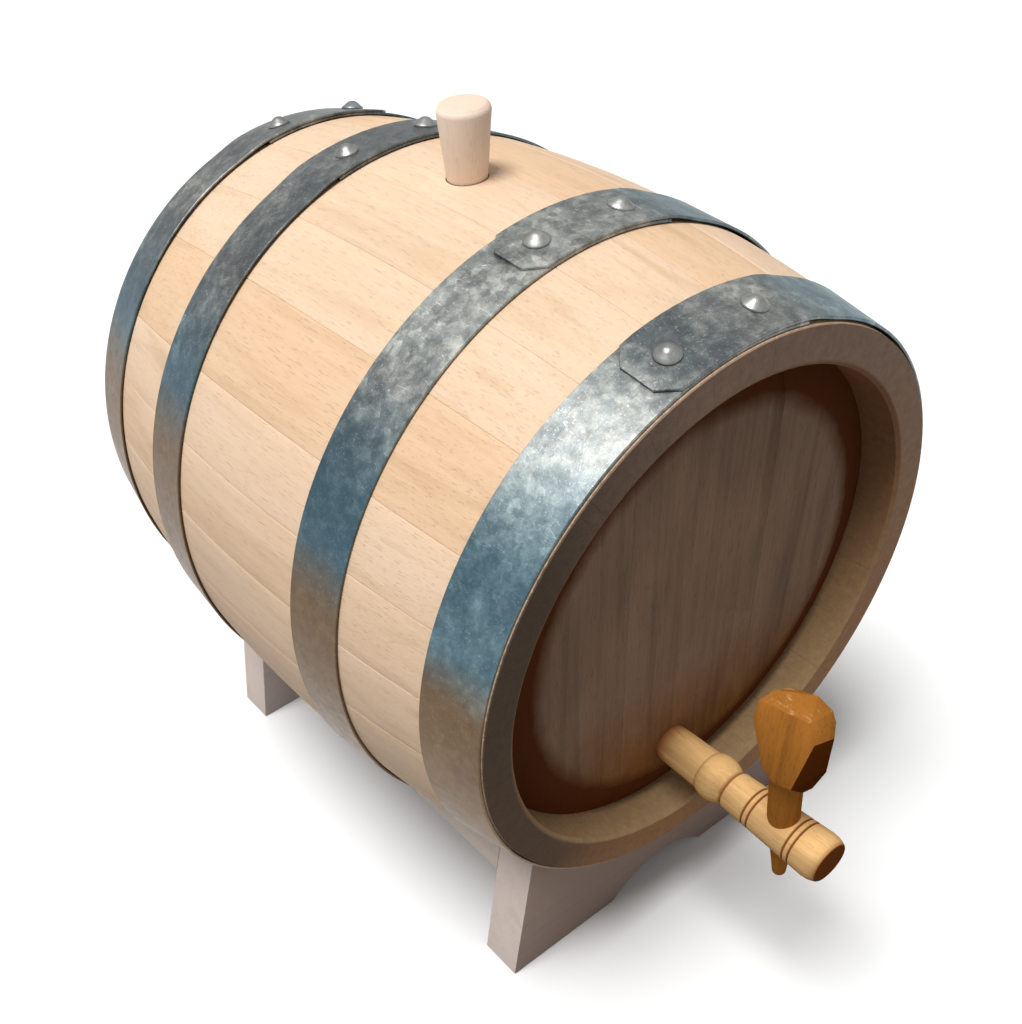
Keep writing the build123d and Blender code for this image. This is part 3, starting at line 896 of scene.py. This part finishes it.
class BARREL_OT_set_rivets(Operator):
    """Set two rivets in every lap"""
    bl_idname = "barrel.set_rivets"
    bl_label = "Set Rivets"

    def blank(self):
        """A rivet's head, as shares of its radius and its height."""
        own = sizes()
        half, high = own.rivet_diameter / 2, own.rivet_height
        cone = ((1.0, 0.0), (1.0, 0.12), (0.95, 0.22), (0.74, 0.44), (0.50, 0.74),
                (0.33, 0.92), (0.14, 1.0))
        outline = [(half * 0.4, -own.strap_thickness)] + [(half * r, high * h) for r, h in cone]
        return new_object("rivet_blank", turned("rivet_blank", outline, 28))

    def execute(self, context):
        own, tints = sizes(), colours()
        recipe = rivets_recipe()
        finish = zinc_finish("Bright rivets", tints.rivet, tints.frost_and_sheen, 0.05)
        blank = self.blank()
        for hoop in HOOPS:
            centre, width, front, back = strap_seat(hoop)
            slope = atan((back - front) / width)
            radius = (front + back) / 2
            points, turns = [], []
            for side in (-1, 1):
                angle = lap_angle(hoop) + side * own.rivet_pitch / 2 / radius
                turn = Matrix.Rotation(angle, 4, "Y") @ Matrix.Rotation(slope, 4, "X")
                seat = Vector((radius * sin(angle), centre,
                               AXIS + radius * cos(angle)))
                points.append(seat + turn.to_3x3() @ Vector((0, 0, 2 * own.strap_thickness)))
                turns += list(turn.to_euler("XYZ"))
            mesh = new_mesh(f"{hoop}_rivets", points, [])
            mesh.attributes.new("turn", "FLOAT_VECTOR", "POINT").data.foreach_set("vector", turns)
            piece = new_object(f"{hoop}_rivets", mesh)
            recipe.apply(piece, Blank=blank, Material=finish)
            install(piece, "barrel", [f"{hoop}_hoop_rivets"], 50)
        bpy.data.objects.remove(blank)
        return {"FINISHED"}


class BARREL_OT_fit_heads(Operator):
    """Fit the three boards of each head"""
    bl_idname = "barrel.fit_heads"
    bl_label = "Fit Heads"

    def disc(self):
        """A whole head turned about Z, its outer face down."""
        own = sizes()
        depth, flat = own.head_depth, own.head_flat / 2
        wall = MOUTH - own.chime_bevel
        tongue, back_flat, ease = wall + 0.003, wall - 0.0075, 0.0002
        outline = [(flat * 0.5, depth), (flat, depth), (wall - ease, depth + HEAD_BEVEL),
                   (tongue, depth + HEAD_BEVEL), (tongue, depth + TONGUE_BACK),
                   (wall, depth + TONGUE_BACK + ease), (back_flat, depth + HEAD_BACK)]
        return turned("head_disc", outline, 120)

    def board(self, name, disc, matrix, low, high):
        """The part of the disc between two upright cuts."""
        work = bmesh.new()
        work.from_mesh(disc)
        work.transform(matrix)
        for place, way in ((low, -1), (high, 1)):
            geometry = work.verts[:] + work.edges[:] + work.faces[:]
            cut = bmesh.ops.bisect_plane(work, geom=geometry, plane_co=(place, 0, 0),
                                         plane_no=(way, 0, 0), clear_outer=True, dist=1e-7)
            edges = [e for e in cut["geom_cut"] if isinstance(e, bmesh.types.BMEdge)]
            bmesh.ops.edgeloop_fill(work, edges=edges)
        bmesh.ops.recalc_face_normals(work, faces=work.faces)
        return rounded(new_object(name, from_work(name, work)), sizes().board_arris)

    def execute(self, context):
        finish = head_finish()
        disc = self.disc()
        seam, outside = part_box("front_head_middle_board")[1].x, 0.2
        for end, start, way in (("front", FRONT, 1), ("rear", REAR, -1)):
            matrix = moved((0, start, AXIS), radians(-90 * way), "X")
            for side in ("left", "middle", "right"):
                node = f"{end}_head_{side}_board"
                middle = sum(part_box(node), Vector((0, 0, 0))).x / 2
                low, high = next(cuts for cuts in (
                    (-outside, -seam), (-seam, seam), (seam, outside))
                    if cuts[0] < middle < cuts[1])
                piece = self.board(node + "_face", disc, matrix, low, high)
                install(piece, "barrel", [node], 40, finish)
        return {"FINISHED"}


class BARREL_OT_turn_tap(Operator):
    """Turn the tap's body"""
    bl_idname = "barrel.turn_tap"
    bl_label = "Turn Tap"

    def outline(self):
        """(distance from the head in mm, radius in mm, how dark) along the tap."""
        # The darkening at the start, where the shank leaves the barrel's head, is painted shadow.
        points = [(-20.0, 5.0, 0.0), (0.0, 6.0, 0.95), (1.4, 6.03, 0.7), (4.2, 6.1, 0.2),
                  (8.0, 6.18, 0.0), (15.6, 6.38, 0.0), (16.0, 6.3, 0.5)]
        collar_start, collar_length, shoulder, neck, swell = 16.0, 9.2, 6.4, 5.3, 1.45
        for share in (step / 12 for step in range(1, 12)):
            radius = shoulder + (neck - shoulder) * share + swell * sin(pi * share) ** 0.8
            points.append((collar_start + collar_length * share, radius, 0.0))
        points += [(25.2, 5.25, 0.8), (25.7, 5.25, 0.9), (26.0, 5.9, 0.3), (26.3, 6.1, 0.0)]

        body_start, body_end, body_radius, widening = 26.0, 57.5, 6.1, 1.5

        def body(along):
            return body_radius + (along - body_start) / (body_end - body_start) * widening

        groove = ((-0.45, 0.0, 0.0), (-0.2, 0.3, 0.9), (0.0, 0.4, 1.0), (0.2, 0.3, 0.9),
                  (0.45, 0.0, 0.0))
        for middle in (34.3, 36.3, 50.0, 52.0):
            points += [(middle + beside, body(middle) - deep, dark)
                       for beside, deep, dark in groove]
        return points + [(56.6, body(56.6), 0.0), (57.6, body(57.0) - 0.1, 0.0),
                         (58.6, 7.4, 0.05), (59.8, 7.0, 0.1), (60.7, 6.6, 0.5),
                         (61.0, 6.3, 1.0), (61.0, 3.0, 1.0)]

    def execute(self, context):
        low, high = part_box("tap_body")
        outline = self.outline()
        steps = 72
        profile = [(radius / 1000, along / 1000) for along, radius, _ in outline]
        mesh = turned("tap", profile, steps)
        marks = [0.0] + [dark for *_, dark in outline for _ in range(steps)] + [outline[-1][2]]
        if len(marks) != len(mesh.vertices):
            raise RuntimeError("the tap's rings were merged")
        mark(mesh, "mark", marks)
        reach = outline[-1][0] / 1000
        place = Vector(((low.x + high.x) / 2, low.y + reach, (low.z + high.z) / 2))
        mesh.transform(moved(place, radians(90), "X"))
        install(new_object("tap", mesh), "barrel", ["tap_body"], 45, tap_finish())
        return {"FINISHED"}


class BARREL_OT_carve_key(Operator):
    """Carve the key with its whittled handle"""
    bl_idname = "barrel.carve_key"
    bl_label = "Carve Key"

    def handle(self, to_local):
        """Faceted handle in the key's own frame: the hull of the CAD handle's corners."""
        handle_foot = 0.015
        work = bmesh.new()
        for point in node_points("tap_key"):
            point = to_local @ point
            if point.z > handle_foot:
                work.verts.new(point)
        bmesh.ops.remove_doubles(work, verts=work.verts, dist=1e-5)
        hull = bmesh.ops.convex_hull(work, input=work.verts)
        inside = {v for v in hull["geom_interior"] if isinstance(v, bmesh.types.BMVert)}
        bmesh.ops.delete(work, geom=list(inside), context="VERTS")
        bmesh.ops.dissolve_limit(work, angle_limit=radians(1.5), verts=work.verts,
                                 edges=work.edges)
        mesh = from_work("key_handle", work)
        outwards(mesh)
        return mesh

    def stem(self):
        """Tapered stem from its lower end up into the handle, in the key's own frame."""
        entry, entry_diameter, taper = 6.97, 9.2, 0.085  # in mm, where the tap's body begins

        def radius(height):
            return (entry_diameter / 2 - taper * (entry - height)) / 1000

        outline = [(radius(-23.6) - 0.0003, -0.0236), (radius(-23.3), -0.0233),
                   (radius(0.0), 0.0), (radius(entry), entry / 1000), (0.0046, 0.0215),
                   (0.0045, 0.034)]
        return turned("key_stem", outline, 48)

    def execute(self, context):
        joint = next(j for j in frame["joints"] if j["name"] == "key_turn")
        axis = Vector(joint["axis"])
        to_world = moved(joint["pos_m"], atan2(axis.x, axis.z), "Y")
        blank = new_object("key_handle", self.handle(to_world.inverted()))
        handle = rounded(blank, sizes().key_arris, 8.0)
        work = bmesh.new()
        work.from_mesh(handle.data)
        cut = work.faces.layers.float.new("cut")
        under = work.faces.layers.float.new("under")
        work.normal_update()
        # The top facets are marked as cut, the facet facing the front for its painted shade.
        for face in work.faces:
            face[cut] = float(face.normal.z > 0.7)
            face[under] = float(face.normal.y < -0.8 and face.normal.z < 0.2)
        work.from_mesh(self.stem())
        rise = work.verts.layers.float.new("rise")
        for vertex in work.verts:
            vertex[rise] = vertex.co.z
        work.transform(to_world)
        piece = new_object("key", from_work("key", work))
        bpy.data.objects.remove(handle)
        install(piece, "tap_key", ["tap_key"], 40, key_finish())
        return {"FINISHED"}


class BARREL_OT_turn_bung(Operator):
    """Turn the tapered bung"""
    bl_idname = "barrel.turn_bung"
    bl_label = "Turn Bung"

    def execute(self, context):
        base = colours().bung
        centre, foot, low, wide, shoulder, top = bung_taper()
        reach, arris = top - shoulder, 0.0004
        shoulder_arc = [(x, z) for z, x in arc(0.0, radians(90), 8, reach, reach,
                                               x=shoulder, z=wide - reach)]
        outline = [(foot - arris, low), (foot, low + arris), *shoulder_arc, (wide * 0.35, top)]
        mesh = turned("bung_plug", outline, 64)
        mesh.transform(Matrix.Translation((centre.x, centre.y, 0)))
        mark_broad(mesh, Z)
        finish = plain_wood("Turned bung wood", Z, base, shade(base, 0.8), shade(base, 1.05),
                            0.35, 0.5, (0.92, 0.84, 0.80))
        install(new_object("bung_plug", mesh), "bung", ["bung"], 45, finish)
        return {"FINISHED"}


class BARREL_OT_build_stand(Operator):
    """Build the stand's two cradle boards and two rails"""
    bl_idname = "barrel.build_stand"
    bl_label = "Build Stand"

    def board_outline(self, node):
        """Outline (x, z) of a cradle board, read from the frame."""
        points = node_points(node)
        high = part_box(node)[1]
        top = max(p.x for p in points if p.z > high.z - ON_PLANE)
        cradle = min(hypot(p.x, p.z - AXIS) for p in points)
        notch = min(abs(p.x) for p in points if p.z < ON_PLANE)
        under_cradle = 0.02
        rise = max(p.z for p in points if abs(p.x) < notch * 0.3 and p.z < under_cradle)
        drop = AXIS - high.z
        open_half = asin(sqrt(cradle ** 2 - drop ** 2) / cradle)
        radius = (notch ** 2 + rise ** 2) / (2 * rise)
        half = asin(notch / radius)
        return [(high.x, 0.0), (top, high.z),
                *arc(open_half, -open_half, 48, cradle, -cradle, z=AXIS),
                (-top, high.z), (-high.x, 0.0),
                *arc(-half, half, 20, radius, radius, z=rise - radius)]

    def rail_outline(self, node):
        """Outline (x, z) of a rail, read from the frame."""
        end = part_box(node)[0].y
        ring = [(p.x, p.z) for p in node_points(node) if p.y < end + ON_PLANE]
        return [ring[index] for index in convex_hull_2d(ring)]

    def plank(self, name, outline, low, high):
        """A closed plank from an outline in X and Z."""
        mesh = prism(name, [[(x, y, z) for x, z in outline] for y in (low.y, high.y)])
        outwards(mesh)
        piece = rounded(new_object(name, mesh), sizes().edge_round, 25.0)
        mark_broad(piece.data, Y)
        return piece

    def execute(self, context):
        base = colours().stand
        common = (base, shade(base, 0.74), shade(base, 1.12), 0.5)
        # The front board's faces along Y are painted darker, as painted shade on its front.
        front = plain_wood("Front board wood", X, *common, broad=(0.58, 0.50, 0.46))
        rear = plain_wood("Rear board wood", X, *common)
        rails = plain_wood("Stand rail wood", Y, *common)
        for name, node, outline, finish in (
                ("front_cradle", "stand_front_board", self.board_outline, front),
                ("rear_cradle", "stand_rear_board", self.board_outline, rear),
                ("left_rail", "stand_left_rail", self.rail_outline, rails),
                ("right_rail", "stand_right_rail", self.rail_outline, rails)):
            piece = self.plank(name, outline(node), *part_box(node))
            install(piece, "stand", [node], 35, finish)
        return {"FINISHED"}


class BARREL_OT_finish_dowels(Operator):
    """Give the hidden dowels their wood"""
    bl_idname = "barrel.finish_dowels"
    bl_label = "Finish Dowels"

    def execute(self, context):
        for name, along, nodes in (
                ("Head dowel wood", X, ["front_head_dowels", "rear_head_dowels"]),
                ("Stand dowel wood", Y, ["stand_dowels"])):
            finish = plain_wood(name, along, colours().dowel, (0.36, 0.23, 0.12),
                                (0.66, 0.48, 0.32))
            for node in nodes:
                mesh = frame["nodes"][node].data
                mesh.materials.clear()
                mesh.materials.append(finish)
        return {"FINISHED"}


class BARREL_OT_light_stage(Operator):
    """Set up the camera, the floor and the light"""
    bl_idname = "barrel.light_stage"
    bl_label = "Light Stage"

    def camera(self):
        """Camera at the photograph's place, heading and tilt."""
        data = bpy.data.cameras.new("Camera")
        longer = max(PHOTO_WIDTH, PHOTO_HEIGHT)
        data.sensor_fit = "AUTO"
        data.sensor_width = SENSOR
        data.lens = SENSOR * FOCAL_LENGTH / longer
        data.shift_x = (PHOTO_WIDTH / 2 - OPTICAL_AXIS[0]) / longer
        data.shift_y = (OPTICAL_AXIS[1] - PHOTO_HEIGHT / 2) / longer
        data.clip_start = 0.01
        data.clip_end = 50.0
        right, down = Vector(CAMERA_RIGHT), Vector(CAMERA_DOWN)
        turn = Matrix((right, -down, right.cross(-down))).transposed()
        camera = new_object("Camera", data)
        camera.matrix_world = Matrix.Translation(CAMERA_PLACE) @ turn.to_4x4()
        bpy.context.scene.camera = camera

    def floor(self):
        reach = 8
        corners = [(x * reach, y * reach, 0) for x, y in ((-1, -1), (1, -1), (1, 1), (-1, 1))]
        mesh = new_mesh("floor", corners, [(0, 1, 2, 3)])
        mesh.materials.append(stage_finish())
        new_object("floor", mesh)

    def lamp(self):
        """Soft far lamp, its heading counted from +Y towards +X."""
        data = bpy.data.lights.new("Key", "SUN")
        data.energy = 3.05
        data.angle = radians(26.0)
        heading, elevation = radians(-92.0), radians(72.0)
        source = Vector((sin(heading) * cos(elevation), cos(heading) * cos(elevation),
                         sin(elevation)))
        lamp = new_object("Key", data)
        lamp.rotation_mode = "QUATERNION"
        lamp.rotation_quaternion = source.to_track_quat("Z", "Y")

    def surroundings(self):
        """Soft light from all round; seen rays find a pale backdrop, whiter overhead."""
        world = bpy.data.worlds.new("Studio")
        world.use_nodes = True
        desk = Desk(world.node_tree)
        across, along, rise = desk.parts(desk.node("ShaderNodeTexCoord", output="Generated"))
        backdrop = 0.5 + rise.ramp(0.0, 0.8) * 0.45
        lit_side = rise * 0.75 - across * 0.32 + along * 0.3
        fill = 0.10 + lit_side.ramp(-0.3, 0.9) * 0.34
        background = world.node_tree.nodes["Background"].inputs
        background["Color"].default_value = (1.0, 1.0, 1.0, 1.0)
        desk.feed(background["Strength"], fill + seen_rays(desk) * (backdrop - fill))
        bpy.context.scene.world = world

    def execute(self, context):
        self.camera()
        self.floor()
        self.surroundings()
        self.lamp()
        context.scene.view_settings.view_transform = "Standard"
        return {"FINISHED"}


OPERATORS = (BARREL_OT_light_stage, BARREL_OT_raise_staves, BARREL_OT_drive_hoops,
             BARREL_OT_set_rivets, BARREL_OT_fit_heads, BARREL_OT_turn_tap,
             BARREL_OT_carve_key, BARREL_OT_turn_bung, BARREL_OT_build_stand,
             BARREL_OT_finish_dowels)


class BARREL_PT_pieces(Panel):
    """Sizes, colours and pieces of the barrel"""
    bl_idname = "BARREL_PT_pieces"
    bl_label = "Oak Barrel"
    bl_space_type = "VIEW_3D"
    bl_region_type = "UI"
    bl_category = "Barrel"

    def draw(self, context):
        layout = self.layout
        for group in (context.scene.barrel_sizes, context.scene.barrel_colours):
            box = layout.box()
            for name in group.__annotations__:
                box.prop(group, name)
        for operator in OPERATORS:
            layout.operator(operator.bl_idname)


CLASSES = (BarrelSizes, BarrelColours, *OPERATORS, BARREL_PT_pieces)


def register():
    for cls in CLASSES:
        bpy.utils.register_class(cls)
    Scene.barrel_sizes = PointerProperty(type=BarrelSizes)
    Scene.barrel_colours = PointerProperty(type=BarrelColours)


def unregister():
    del Scene.barrel_colours
    del Scene.barrel_sizes
    for cls in reversed(CLASSES):
        bpy.utils.unregister_class(cls)


def main():
    """Make every piece in order."""
    register()
    for operator in OPERATORS:
        category, name = operator.bl_idname.split(".")
        result = getattr(getattr(bpy.ops, category), name)()
        if result != {"FINISHED"}:
            raise RuntimeError(f"{operator.bl_label} didn't finish")


if __name__ == "__main__":
    main()
